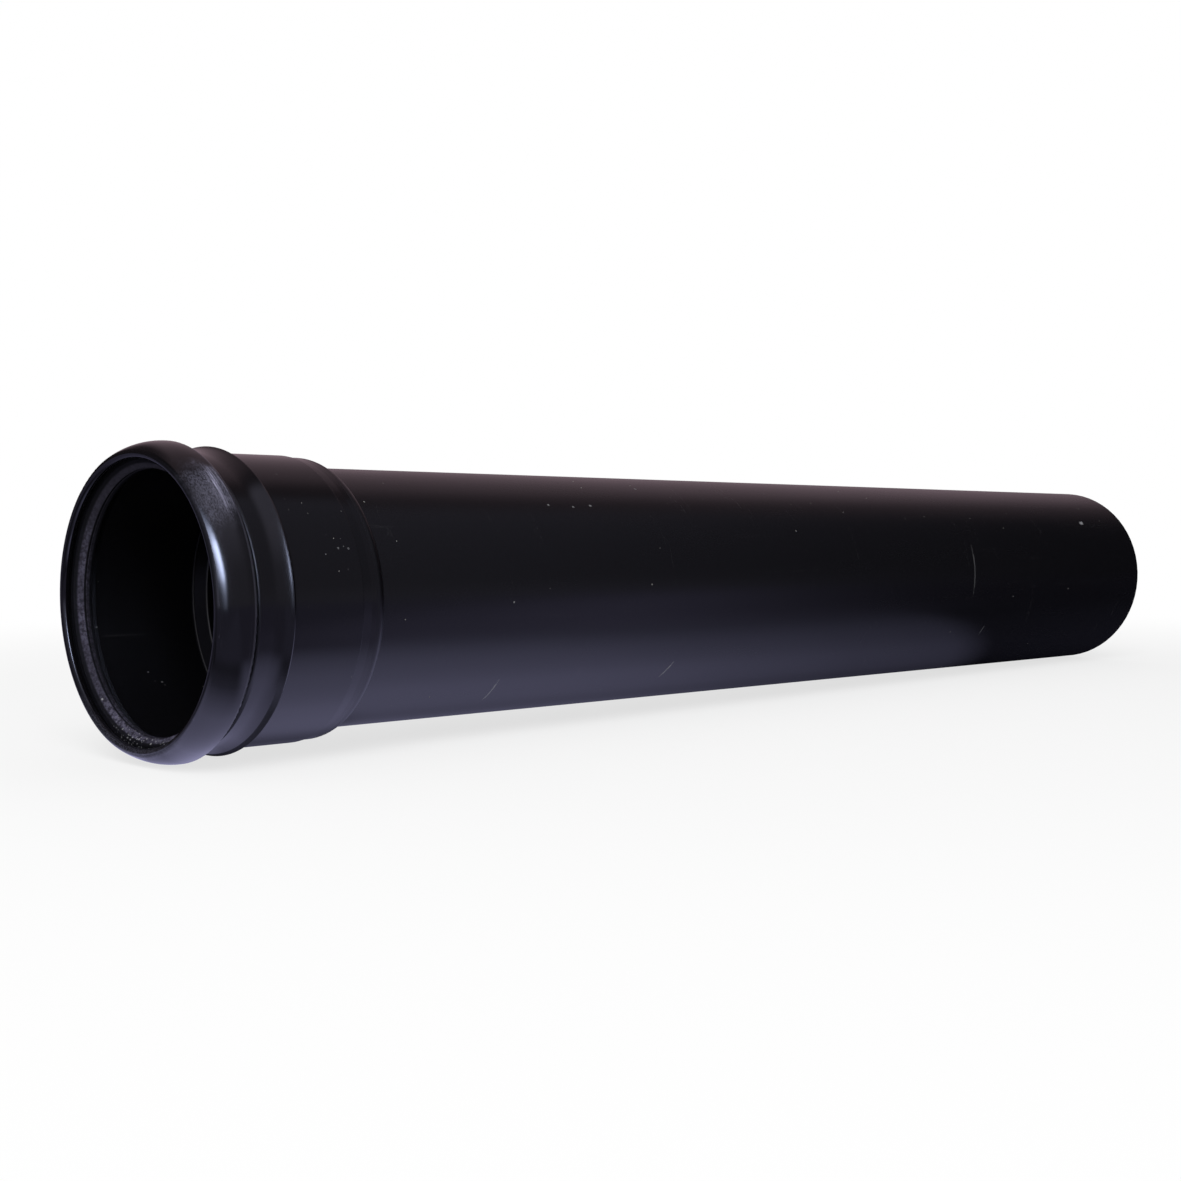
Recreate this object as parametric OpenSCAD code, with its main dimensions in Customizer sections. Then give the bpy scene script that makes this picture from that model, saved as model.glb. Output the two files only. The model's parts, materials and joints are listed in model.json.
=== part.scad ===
// Drainage pipe with one push-fit socket: a plain extruded tube, a moulded socket welded over
// its front end, a rubber ring seal in the socket's mouth and the snap cap that keeps it there.
// It lies along X on the floor, mouth towards -X, resting on the cap and on the spigot's end.

/* [Pipe] */
// Outside radius of the tube
pipe_r = 55; // [30:0.5:80]
// Wall of the tube
pipe_wall = 3.2; // [2:0.1:6]
// Length of the tube, cut end to cut end
pipe_len = 636; // [250:1:3000]
// Bevel that breaks the sharp outer edge of the spigot's cut end
edge_break = 0.6; // [0.3:0.1:2]

/* [Socket] */
// Radial clearance between a spigot and the socket's bore
spigot_play = 0.3; // [0.1:0.05:0.5]
// Wall of the socket around a spigot
socket_wall = 4.35; // [3.5:0.05:7]
// Depth that a spigot enters, from the mouth to the start of the stop
entry_depth = 60.5; // [45:0.5:120]
// Length of the sloped stop between the bore and the tube
stop_slope = 5; // [2:0.5:10]
// Width of the plain land behind the stop, which the tube butts against
stop_land = 2; // [1:0.5:5]
// Length of the sleeve that is welded over the tube
sleeve_len = 11; // [8:0.5:60]
// Wall of that sleeve
sleeve_wall = 3.9; // [3.6:0.05:6]
// Rounding of the sleeve's rear end
sleeve_round = 3.6; // [1:0.1:3.8]

/* [Socket outside] */
// How far the neck behind the cap stands above the barrel
neck_rise = 0.35; // [0.1:0.05:1]
// Length of the slope between the barrel and the sleeve
step_slope = 4.4; // [1:0.1:6]
// Distance from the mouth to the middle of the collar ring
collar_at = 32.3; // [25:0.1:42]
// Rounding radius of the collar ring, which is also its height over the neck
collar_round = 1.8; // [1:0.1:3]
// Length of the open slit between the cap's rear edge and the shoulder behind it
slit_len = 2.7; // [1:0.1:5]
// Depth of that slit below the neck
slit_depth = 1.6; // [0.5:0.1:2.5]
// Rounding of the shoulder's edge
shoulder_round = 0.9; // [0.3:0.1:1.5]

/* [Seal cap] */
// Length of the cap along the pipe
cap_len = 15.1; // [14:0.1:16.5]
// Thickness of the cap over the neck, at its crown
cap_wall = 3.6; // [3:0.1:6]
// Radius of the crown across the cap
crown_round = 23.2; // [22:0.1:60]
// Rounding radius of the rim around the mouth
rim_round = 1.9; // [1.2:0.1:2.5]
// Rounding radius of the rear edge
rear_round = 0.8; // [0.5:0.1:2]
// How far behind the rim's rounding the cap's front wall meets the seal
front_step = 0.7; // [0.1:0.1:2]
// How far that wall covers the seal's face
seal_hold = 0.1; // [0.1:0.1:1]
// Radial height of the snap rib
snap_rib = 0.7; // [0.3:0.1:1]

/* [Ring seal] */
// How far the relaxed lip reaches inside the tube's outside radius
lip_grip = 2.3; // [1:0.1:3]
// Length of the lip's inner land
lip_land = 1.4; // [1:0.1:2.8]
// Length of the seal along the pipe
seal_len = 8.2; // [7.5:0.1:10]
// Radial thickness of the seal's heel
heel_t = 2.1; // [1.5:0.1:3]

/* [Hidden] */
$fn = 160;

weld_gap = 0.05;                      // film of solvent cement between sleeve and tube
fit_gap = 0.1;                        // clearance between pieces that only touch
weld_bead = 0.65;                     // radius of the cement squeezed out behind the sleeve
arc_lap = 0.002;                      // lets tangent arcs cross instead of only touching
bevel = 1;                            // length of the small slopes inside the socket
step_lead = 1;                        // from the start of the barrel's rear slope to the tube's end
seat_back = 2;                        // from the seal's face to the moulded socket's front end
lip_wall = 0.4;                       // share of the neck's wall that is left around the seal
groove_slope = 0.7;                   // length of the slopes at the snap rib's sides
rib_back = 2.2;                       // from the middle of the snap rib to the cap's rear edge
slit_lead = 0.5;                      // how far the slit reaches under the cap
crown_back = 0.7;                     // from the crown to the centre of the rear rounding
lip_groove = [0.4, 0.7, 1];           // start, bottom and end of the fine groove in the lip
lip_groove_depth = [0.1, 0.6];        // how far it steps back at its start and at its bottom
clear = 1;                            // how far cuts run past the faces they open

tube_bore_r = pipe_r - pipe_wall;
socket_bore_r = pipe_r + spigot_play;
barrel_r = socket_bore_r + socket_wall;
neck_r = barrel_r + neck_rise;
sleeve_bore_r = pipe_r + weld_gap;
sleeve_r = sleeve_bore_r + sleeve_wall;

tube_at = entry_depth + stop_slope + stop_land;  // where the tube butts in the socket
socket_end = tube_at + sleeve_len;
overall_len = tube_at + pipe_len;

// the seal lies between the cap's front wall and a shoulder in the neck
front_wall = 2 * rim_round + front_step;
seal_at = front_wall + fit_gap;
seal_end = seal_at + seal_len;
shoulder_at = seal_end + fit_gap;
seal_r = neck_r - (neck_r - socket_bore_r) * lip_wall - fit_gap;
heel_r = seal_r - heel_t;
lip_r = pipe_r - lip_grip;

// the cap is turned from three tangent arcs: rim, crown and rear edge
cap_bore_r = neck_r + fit_gap;
cap_r = cap_bore_r + cap_wall;
crown_c = cap_r - crown_round;
crown_at = cap_len - rear_round - crown_back;
rim_reach = crown_round - rim_round;
rim_c = crown_c + sqrt(pow(rim_reach, 2) - pow(crown_at - rim_round, 2));
rear_reach = crown_round - rear_round;
rear_at = cap_len - rear_round;
rear_c = crown_c + sqrt(pow(rear_reach, 2) - pow(rear_at - crown_at, 2));
rib_r = neck_r - snap_rib;
snap_at = cap_len - rib_back;         // middle of the snap rib and of its groove
snap_half = 0.5;                      // half the rib's width at its top
slit_end = cap_len + slit_len;
slit_r = neck_r - slit_depth;

// at rest the cap's crown and the spigot's lower edge touch the floor, which tips the axis
tail = overall_len - edge_break - crown_at;
drop = pipe_r - crown_c;
lie_tilt = asin(crown_round / norm([tail, drop])) - atan2(drop, tail);
axis_height = (overall_len / 2 - edge_break) * sin(lie_tilt) + pipe_r * cos(lie_tilt);

// Sections are drawn with the radius along X and the distance from the mouth along Y.
module turned() {
    translate([0, 0, axis_height])
        rotate([0, 90 + lie_tilt, 0])
            translate([0, 0, -overall_len / 2])
                rotate_extrude() children();
}

module wall(r_in, r_out, from, to) {
    translate([r_in, from]) square([r_out - r_in, to - from]);
}

module pipe() {
    color([0.06, 0.06, 0.07]) turned() {
        polygon([
            [tube_bore_r, tube_at], [pipe_r, tube_at],
            [pipe_r, overall_len - edge_break], [pipe_r - edge_break, overall_len],
            [tube_bore_r, overall_len]
        ]);
        translate([pipe_r, socket_end + weld_bead + fit_gap]) circle(weld_bead);
    }
}

// Bore, sloped stop and the seat that is welded to the tube
module socket_inside() {
    polygon([
        [0, 0], [heel_r, 0], [heel_r, shoulder_at],
        [socket_bore_r, shoulder_at + bevel], [socket_bore_r, entry_depth],
        [tube_bore_r, entry_depth + stop_slope], [tube_bore_r, tube_at - fit_gap],
        [sleeve_bore_r, tube_at - fit_gap], [sleeve_bore_r, socket_end + clear],
        [0, socket_end + clear]
    ]);
}

module socket_body() {
    color([0.07, 0.07, 0.08]) turned() difference() {
        union() {
            // neck with the seal's seat, and the collar ring behind it
            wall(tube_bore_r, neck_r, seal_at + seat_back, collar_at);
            translate([neck_r, collar_at]) circle(collar_round);
            // barrel, stepped down to the sleeve behind the stop
            polygon([
                [tube_bore_r, collar_at], [barrel_r, collar_at], [barrel_r, tube_at - step_lead],
                [sleeve_r, tube_at - step_lead + step_slope], [sleeve_r, socket_end - sleeve_round],
                [sleeve_r - sleeve_round, socket_end - sleeve_round],
                [sleeve_r - sleeve_round, socket_end], [tube_bore_r, socket_end]
            ]);
            translate([sleeve_r - sleeve_round, socket_end - sleeve_round]) circle(sleeve_round);
        }
        socket_inside();
        wall(heel_r - clear, seal_r + fit_gap, 0, shoulder_at);
        // groove for the cap's snap rib, its slopes drawn on past the neck
        polygon([
            [neck_r + clear, snap_at - snap_half - groove_slope - clear],
            [neck_r + clear, snap_at + snap_half + groove_slope + clear],
            [rib_r - fit_gap, snap_at + snap_half + fit_gap],
            [rib_r - fit_gap, snap_at - snap_half - fit_gap]
        ]);
        slit();
    }
}

// Open slit between the cap and the shoulder, whose edge is rounded
module slit() {
    difference() {
        wall(slit_r, neck_r + clear, cap_len - slit_lead, slit_end + shoulder_round);
        wall(0, neck_r - shoulder_round, slit_end, slit_end + clear + shoulder_round);
        translate([neck_r - shoulder_round, slit_end + shoulder_round]) circle(shoulder_round);
    }
}

module seal_cap() {
    color([0.05, 0.05, 0.06]) turned() {
        difference() {
            union() {
                // the crown arc, cut off on the lines through the centres of its two end arcs
                intersection() {
                    translate([crown_c, crown_at]) circle(crown_round);
                    polygon([
                        [crown_c, crown_at],
                        [crown_c + 2 * (rim_c - crown_c), crown_at - 2 * (crown_at - rim_round)],
                        [crown_c + 2 * (rear_c - crown_c), crown_at + 2 * (rear_at - crown_at)]
                    ]);
                }
                translate([rear_c, rear_at]) circle(rear_round + arc_lap);
                wall(crown_c, rear_c, crown_at, cap_len);
            }
            cap_inside();
        }
        translate([rim_c, rim_round]) circle(rim_round + arc_lap);
    }
}

// Everything inside the cap's walls, from the seal's recess to the snap rib and the rear edge
module cap_inside() {
    polygon([
        [0, -clear], [seal_r - seal_hold, -clear],
        [seal_r - seal_hold, front_wall], [cap_bore_r, front_wall],
        [cap_bore_r, snap_at - snap_half - groove_slope], [rib_r, snap_at - snap_half],
        [rib_r, snap_at + snap_half], [cap_bore_r, snap_at + snap_half + groove_slope],
        [cap_bore_r, cap_len + clear], [0, cap_len + clear]
    ]);
}

module ring_seal() {
    nose = seal_at + heel_r - lip_r;
    color([0.16, 0.16, 0.16]) turned() {
        // heel, then the lip: a 45 degree lead-in, a fine groove and the land that grips the spigot
        polygon([
            [seal_r, seal_at], [heel_r, seal_at],
            [lip_r + lip_groove_depth[0], nose - lip_groove_depth[0]],
            [lip_r + lip_groove_depth[0], nose + lip_groove[0]],
            [lip_r + lip_groove_depth[1], nose + lip_groove[1]], [lip_r, nose + lip_groove[2]],
            [lip_r, nose + lip_groove[2] + lip_land], [heel_r, seal_end - bevel],
            [heel_r, seal_end], [seal_r, seal_end]
        ]);
    }
}

pipe();
socket_body();
seal_cap();
ring_seal();
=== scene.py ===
import json
import math

import bmesh
import bpy
from mathutils import Matrix, Vector


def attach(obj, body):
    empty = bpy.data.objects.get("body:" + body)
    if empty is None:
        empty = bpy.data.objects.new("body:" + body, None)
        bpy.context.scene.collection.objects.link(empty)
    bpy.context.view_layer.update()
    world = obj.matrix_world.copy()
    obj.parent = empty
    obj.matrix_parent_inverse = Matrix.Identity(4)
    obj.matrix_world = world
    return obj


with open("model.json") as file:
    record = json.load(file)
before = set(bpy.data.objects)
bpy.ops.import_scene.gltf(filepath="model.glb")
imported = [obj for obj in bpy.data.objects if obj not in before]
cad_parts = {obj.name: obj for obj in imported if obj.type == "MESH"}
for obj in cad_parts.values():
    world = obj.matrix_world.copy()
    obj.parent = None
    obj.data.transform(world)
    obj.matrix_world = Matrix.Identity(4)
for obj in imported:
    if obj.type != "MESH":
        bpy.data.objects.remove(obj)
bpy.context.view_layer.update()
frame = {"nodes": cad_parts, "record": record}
nodes = frame["nodes"]
print("stage: frame loaded,", len(nodes), "nodes")

# The pipe's own axis comes from its spigot mount; "along" counts from the mouth, "around" from
# the front (-Y) upwards.
spigot = next(m for m in frame["record"]["mounts"] if m["name"] == "spigot")
axisDir = Vector(spigot["axis"]).normalized()
axisPoint = Vector(spigot["pos_m"])
mouthPoint = axisPoint + axisDir * min(
    (v.co - axisPoint).dot(axisDir) for v in nodes["seal_cap"].data.vertices
)
pipeTilt = math.atan2(-axisDir.z, axisDir.x)
pipeLength = max((v.co - mouthPoint).dot(axisDir) for v in nodes["pipe"].data.vertices)
turnToPipe = Matrix.Rotation(pipeTilt, 4, "Y")


def onPipe(along, around, radius):
    angle = math.radians(around)
    local = Vector((along, -radius * math.cos(angle), radius * math.sin(angle)))
    return mouthPoint + turnToPipe @ local


# short ways to add nodes and join them


def addNode(tree, kind, inputs=None, **settings):
    node = tree.nodes.new(kind)
    for key, value in settings.items():
        setattr(node, key, value)
    for key, value in (inputs or {}).items():
        socket = node.inputs[key]
        if isinstance(value, bpy.types.NodeSocket):
            tree.links.new(value, socket)
        else:
            socket.default_value = value
    return node


def calc(tree, operation, a, b=None, clamp=False):
    inputs = {0: a} if b is None else {0: a, 1: b}
    return addNode(tree, "ShaderNodeMath", inputs, operation=operation, use_clamp=clamp).outputs[0]


def plus(tree, a, b):
    return calc(tree, "ADD", a, b)


def minus(tree, a, b):
    return calc(tree, "SUBTRACT", a, b)


def times(tree, a, b):
    return calc(tree, "MULTIPLY", a, b)


def larger(tree, a, b):
    return calc(tree, "MAXIMUM", a, b)


def inverse(tree, mask):
    return minus(tree, 1.0, mask)


def ramp(tree, value, fromLow, fromHigh, toLow=0.0, toHigh=1.0, shape="SMOOTHSTEP"):
    inputs = {"Value": value, "From Min": fromLow, "From Max": fromHigh, "To Min": toLow, "To Max": toHigh}
    return addNode(tree, "ShaderNodeMapRange", inputs, interpolation_type=shape).outputs[0]


def blendColour(tree, factor, a, b):
    inputs = {0: factor, 6: a, 7: b}
    return addNode(tree, "ShaderNodeMix", inputs, data_type="RGBA", clamp_factor=True).outputs[2]


def stretch(tree, vector, scale, shift=(0, 0, 0)):
    node = addNode(tree, "ShaderNodeMapping", {"Vector": vector, "Scale": scale, "Location": shift})
    return node.outputs[0]


def noise(tree, vector, scale, detail=3.0, roughness=0.5):
    inputs = {"Vector": vector, "Scale": scale, "Detail": detail, "Roughness": roughness}
    return addNode(tree, "ShaderNodeTexNoise", inputs).outputs[0]


def newGroup(name, inputs, outputs):
    # an input is given its starting value, or None where it is a vector
    tree = bpy.data.node_groups.new(name, "ShaderNodeTree")
    for label, value in inputs.items():
        kind = "Vector" if value is None else "Float"
        socket = tree.interface.new_socket(label, in_out="INPUT", socket_type="NodeSocket" + kind)
        if value is not None:
            socket.default_value = value
    for label, kind in outputs.items():
        tree.interface.new_socket(label, in_out="OUTPUT", socket_type="NodeSocket" + kind)
    return tree, tree.nodes.new("NodeGroupInput").outputs, tree.nodes.new("NodeGroupOutput").inputs


def place(tree, group, inputs=None):
    return addNode(tree, "ShaderNodeGroup", inputs, node_tree=group).outputs


def shine(tree, kind, colour, strength=1.0):
    return addNode(tree, "ShaderNode" + kind, {"Color": colour, "Strength": strength}).outputs[0]


def mixShaders(tree, factor, a, b):
    return addNode(tree, "ShaderNodeMixShader", {0: factor, 1: a, 2: b}).outputs[0]


def newMesh(name, points, faces):
    mesh = bpy.data.meshes.new(name)
    mesh.from_pydata(points, [], faces)
    return mesh


def addObject(name, data):
    thing = bpy.data.objects.new(name, data)
    bpy.context.scene.collection.objects.link(thing)
    return thing


# shared effects, each a group that is built once


def makePipeCoordinates():
    outputs = {"Straight": "Vector", "Along": "Float", "Around": "Float", "Radius": "Float"}
    tree, _, out = newGroup("pipeCoordinates", {}, outputs)
    place3d = addNode(tree, "ShaderNodeTexCoord").outputs["Object"]
    inputs = {"Vector": place3d, "Location": mouthPoint, "Rotation": (0, pipeTilt, 0)}
    straight = addNode(tree, "ShaderNodeMapping", inputs, vector_type="TEXTURE").outputs[0]
    parts = addNode(tree, "ShaderNodeSeparateXYZ", {0: straight}).outputs
    front = times(tree, parts[1], -1.0)
    tree.links.new(straight, out["Straight"])
    tree.links.new(parts[0], out["Along"])
    angle = calc(tree, "ARCTAN2", parts[2], front)
    tree.links.new(calc(tree, "DEGREES", angle), out["Around"])
    squares = [times(tree, part, part) for part in (parts[1], parts[2])]
    tree.links.new(calc(tree, "SQRT", plus(tree, *squares)), out["Radius"])
    return tree


def makePatch():
    # a soft-edged window on the pipe's skin; "Rag" is a noise around zero that frays its edge
    inputs = {
        "Along": 0.0, "Around": 0.0, "Rag": 0.0, "Centre Along": 0.0, "Half Along": 0.01,
        "Centre Around": 0.0, "Half Around": 10.0, "Lean": 0.0, "Soft": 0.5, "Ragged": 0.3,
    }
    tree, given, out = newGroup("skinPatch", inputs, {"Mask": "Float"})
    rag = times(tree, given["Rag"], given["Ragged"])
    inner = inverse(tree, given["Soft"])
    offRound = minus(tree, given["Around"], given["Centre Around"])
    offLong = minus(tree, given["Along"], given["Centre Along"])
    offLong = minus(tree, offLong, times(tree, offRound, given["Lean"]))
    reached = []
    for away, half in ((offLong, given["Half Along"]), (offRound, given["Half Around"])):
        share = plus(tree, calc(tree, "DIVIDE", calc(tree, "ABSOLUTE", away), half), rag)
        reached.append(ramp(tree, share, inner, 1.0, 1.0, 0.0))
    tree.links.new(times(tree, reached[0], reached[1]), out["Mask"])
    return tree


def makeRidge():
    # the small rounding of a moulded edge, as a height that swells over it
    inputs = {"Along": 0.0, "Edge Along": 0.0, "Half Width": 0.0004}
    tree, given, out = newGroup("roundedEdge", inputs, {"Height": "Float"})
    away = calc(tree, "ABSOLUTE", minus(tree, given["Along"], given["Edge Along"]))
    share = calc(tree, "DIVIDE", away, given["Half Width"])
    tree.links.new(ramp(tree, share, 0.0, 1.0, 1.0, 0.0), out["Height"])
    return tree


def makeScratches():
    # hair scratches: the level lines of a stretched noise, broken up by a second one
    inputs = {"Vector": None, "Width": 0.02, "Broken": 0.5, "Detail": 3.0}
    tree, given, out = newGroup("hairScratches", inputs, {"Mask": "Float"})
    coarser, elsewhere = (0.4, 0.4, 0.4), (7.3, 2.1, 4.9)  # the second noise against the first
    fadeIn = 0.12
    level = noise(tree, given["Vector"], 1.0, given["Detail"])
    away = calc(tree, "ABSOLUTE", minus(tree, level, 0.5))
    line = ramp(tree, away, 0.0, given["Width"], 1.0, 0.0, "LINEAR")
    gaps = noise(tree, stretch(tree, given["Vector"], coarser, elsewhere), 1.0, 2.0)
    full = plus(tree, given["Broken"], fadeIn)
    kept = ramp(tree, gaps, given["Broken"], full, shape="LINEAR")
    tree.links.new(times(tree, line, kept), out["Mask"])
    return tree


def makeDust():
    # scattered fine specks: small cells, of which a share is kept
    inputs = {"Straight": None, "Spacing": 0.004, "Speck": 0.12, "Share": 0.3}
    tree, given, out = newGroup("fineDust", inputs, {"Mask": "Float"})
    scale = calc(tree, "DIVIDE", 1.0, given["Spacing"])
    cells = addNode(tree, "ShaderNodeTexVoronoi", {"Vector": given["Straight"], "Scale": scale})
    picked = addNode(tree, "ShaderNodeSeparateXYZ", {0: cells.outputs["Color"]}).outputs
    smallest = 0.3  # of the speck size, before a cell's own share is added
    size = times(tree, given["Speck"], plus(tree, picked[1], smallest))
    inside = calc(tree, "LESS_THAN", cells.outputs["Distance"], size)
    chosen = calc(tree, "LESS_THAN", picked[0], given["Share"])
    tree.links.new(times(tree, inside, chosen), out["Mask"])
    return tree


def makeSkinGrain():
    # fine unevenness of extruded or moulded plastic: a height and a sheen variation
    inputs = {"Straight": None, "Draw Along": 1.0, "Draw Across": 1.0, "Grain": 900.0, "Waves": 30.0}
    tree, given, out = newGroup("skinGrain", inputs, {"Height": "Float", "Sheen": "Float"})
    across = given["Draw Across"]
    scale = addNode(tree, "ShaderNodeCombineXYZ", {0: given["Draw Along"], 1: across, 2: across}).outputs[0]
    inputs = {0: given["Straight"], 1: scale}
    drawn = addNode(tree, "ShaderNodeVectorMath", inputs, operation="MULTIPLY").outputs[0]
    fine = noise(tree, drawn, given["Grain"], 4.0)
    broad = noise(tree, drawn, given["Waves"], 2.0)
    tree.links.new(plus(tree, times(tree, fine, 0.2), broad), out["Height"])
    tree.links.new(plus(tree, times(tree, fine, 0.5), times(tree, broad, 0.5)), out["Sheen"])
    return tree


pipeCoordinates = makePipeCoordinates()
skinPatch = makePatch()
roundedEdge = makeRidge()
hairScratches = makeScratches()
fineDust = makeDust()
skinGrain = makeSkinGrain()
print("stage: shared effects built")


# materials

plasticIor = 1.5


def newMaterial(name):
    material = bpy.data.materials.new(name)
    material.use_nodes = True
    tree = material.node_tree
    return material, tree, tree.nodes["Principled BSDF"]


def finishShader(tree, shader, colour, roughness, height, bump, edges=None):
    # bump holds its strength and its distance
    tree.links.new(colour, shader.inputs["Base Color"])
    tree.links.new(roughness, shader.inputs["Roughness"])
    strength, distance = bump
    fine = addNode(tree, "ShaderNodeBump", {"Height": height, "Strength": strength, "Distance": distance})
    if edges is not None:  # the swell of rounded edges, in metres, under the fine bump
        swell = addNode(tree, "ShaderNodeBump", {"Height": edges, "Strength": 1.0, "Distance": 1.0})
        tree.links.new(swell.outputs[0], fine.inputs["Normal"])
    tree.links.new(fine.outputs[0], shader.inputs["Normal"])


def swells(tree, at, edges):
    # each edge is its place along the pipe, the half width of its rounding and its height
    total = 0.0
    for edge in edges:
        total = plus(tree, times(tree, ridgeAt(tree, at, edge), edge["rise"]), total)
    return total


def ridgeAt(tree, at, edge):
    given = {"Along": at["Along"], "Edge Along": edge["along"], "Half Width": edge["half"]}
    return place(tree, roundedEdge, given)["Height"]


def band(tree, at, start, end, soft=0.0002):
    # one between two places along the pipe
    rise = ramp(tree, at["Along"], start - soft, start + soft)
    return times(tree, rise, ramp(tree, at["Along"], end - soft, end + soft, 1.0, 0.0))


def layered(tree, value, layers):
    # each layer is (mask, value): the value shows where the mask is
    for mask, over in layers:
        value = addNode(tree, "ShaderNodeMix", {0: mask, 2: value, 3: over}, data_type="FLOAT").outputs[0]
    return value


def grained(tree, at, grain):
    return place(tree, skinGrain, {"Straight": at["Straight"], **grain})


def wandering(tree, grain, piece):
    # the piece's roughness, which wanders a little with its grain
    sheen = times(tree, minus(tree, grain["Sheen"], 0.5), piece["wander"])
    return plus(tree, sheen, piece["roughness"])


def scratched(tree, at, hairs):
    drawn = stretch(tree, at["Straight"], hairs["scale"], hairs.get("shift", (0, 0, 0)))
    given = {"Vector": drawn, "Width": hairs["width"], "Broken": hairs["broken"]}
    return place(tree, hairScratches, given)["Mask"]


def dusted(tree, at, dust):
    given = {"Spacing": dust["spacing"], "Speck": dust["speck"], "Share": dust["share"]}
    return place(tree, fineDust, {"Straight": at["Straight"], **given})["Mask"]


def frayNoise(tree, at, scale):
    return minus(tree, noise(tree, at["Straight"], scale), 0.5)


def patched(tree, at, rag, patch, soft=0.8, ragged=0.8):
    # a patch lies at (along, around) and has half sizes the same way, in metres and degrees
    return place(
        tree,
        skinPatch,
        {
            "Along": at["Along"],
            "Around": at["Around"],
            "Rag": rag,
            "Centre Along": patch["at"][0],
            "Centre Around": patch["at"][1],
            "Half Along": patch["half"][0],
            "Half Around": patch["half"][1],
            "Lean": patch.get("lean", 0.0),
            "Soft": soft,
            "Ragged": ragged,
        },
    )["Mask"]


def addMarks(tree, at, rag, marks, start):
    strongest = start
    for mark in marks:
        mask = patched(tree, at, rag, mark, soft=0.7)
        strongest = larger(tree, strongest, times(tree, mask, mark["strength"]))
    return strongest


tube = {
    "colour": (0.0026, 0.0025, 0.0032, 1),
    "chalk": (0.22, 0.22, 0.23, 1),
    "dust": (0.34, 0.33, 0.31, 1),
    "sawn": (0.030, 0.030, 0.033, 1),
    "roughness": 0.26,
    "wander": 0.10,
    "boreRoughness": 0.36,
    "markRoughness": 0.6,
    "dustRoughness": 0.8,
    "sawnRoughness": 0.62,
    "boreRadius": 0.0534,
    "sawnDepth": 0.00055,
    "sawnCover": 0.9,
    "sawTeeth": (400, 60, 900),
    "sawRelief": 2.0,
    "grain": {"Draw Along": 0.12, "Draw Across": 1.0, "Grain": 1400.0, "Waves": 90.0},
    "bump": (0.2, 0.00005),
    "markDepth": -0.6,
    "handling": {"scale": (260, 45, 45), "width": 0.006, "broken": 0.64, "strength": 0.16},
    "drag": {"scale": (14, 420, 420), "width": 0.012, "broken": 0.62, "strength": 0.05},
    "specks": {"spacing": 0.009, "speck": 0.035, "share": 0.35, "strength": 0.4},
    "fray": 420.0,
    "marks": [  # along (m), around (degrees), half sizes, lean (m per degree), strength
        {"at": (0.5085, 8), "half": (0.0008, 18), "lean": 0.00009, "strength": 0.20},
        {"at": (0.6500, 40), "half": (0.0028, 1.5), "strength": 0.95},
        {"at": (0.1527, -48), "half": (0.0005, 9), "lean": 0.00002, "strength": 0.75},
        {"at": (0.2622, -43), "half": (0.0006, 7), "lean": 0.00026, "strength": 0.80},
        {"at": (0.5290, -31), "half": (0.0006, 4), "lean": 0.0001, "strength": 0.30},
        {"at": (0.2130, 48), "half": (0.0010, 0.8), "strength": 0.70},
        {"at": (0.2015, 47), "half": (0.0008, 0.7), "strength": 0.60},
        {"at": (0.1866, 48), "half": (0.0008, 0.8), "strength": 0.70},
        {"at": (0.1498, -1), "half": (0.0006, 0.6), "strength": 0.60},
        {"at": (0.2560, 64), "half": (0.0010, 0.8), "strength": 0.50},
    ],
}


def makeTubePlastic():
    material, tree, shader = newMaterial("tubePlastic")
    at = place(tree, pipeCoordinates)
    grain = grained(tree, at, tube["grain"])
    handling = times(tree, scratched(tree, at, tube["handling"]), tube["handling"]["strength"])
    drag = times(tree, scratched(tree, at, tube["drag"]), tube["drag"]["strength"])
    specks = dusted(tree, at, tube["specks"])
    inside = calc(tree, "LESS_THAN", at["Radius"], tube["boreRadius"])
    sawnEnd = calc(tree, "GREATER_THAN", at["Along"], pipeLength - tube["sawnDepth"])
    rag = frayNoise(tree, at, tube["fray"])
    marks = addMarks(tree, at, rag, tube["marks"], larger(tree, handling, drag))
    colour = blendColour(tree, marks, tube["colour"], tube["chalk"])
    colour = blendColour(tree, times(tree, specks, tube["specks"]["strength"]), colour, tube["dust"])
    colour = blendColour(tree, times(tree, sawnEnd, tube["sawnCover"]), colour, tube["sawn"])
    roughness = layered(
        tree,
        wandering(tree, grain, tube),
        [
            (inside, tube["boreRoughness"]),
            (marks, tube["markRoughness"]),
            (specks, tube["dustRoughness"]),
            (sawnEnd, tube["sawnRoughness"]),
        ],
    )
    sawMarks = noise(tree, stretch(tree, at["Straight"], tube["sawTeeth"]), 1.0, 3.0)
    height = plus(tree, grain["Height"], times(tree, marks, tube["markDepth"]))
    height = layered(tree, height, [(sawnEnd, times(tree, sawMarks, tube["sawRelief"]))])
    finishShader(tree, shader, colour, roughness, height, tube["bump"])
    shader.inputs["IOR"].default_value = plasticIor
    return material


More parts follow.
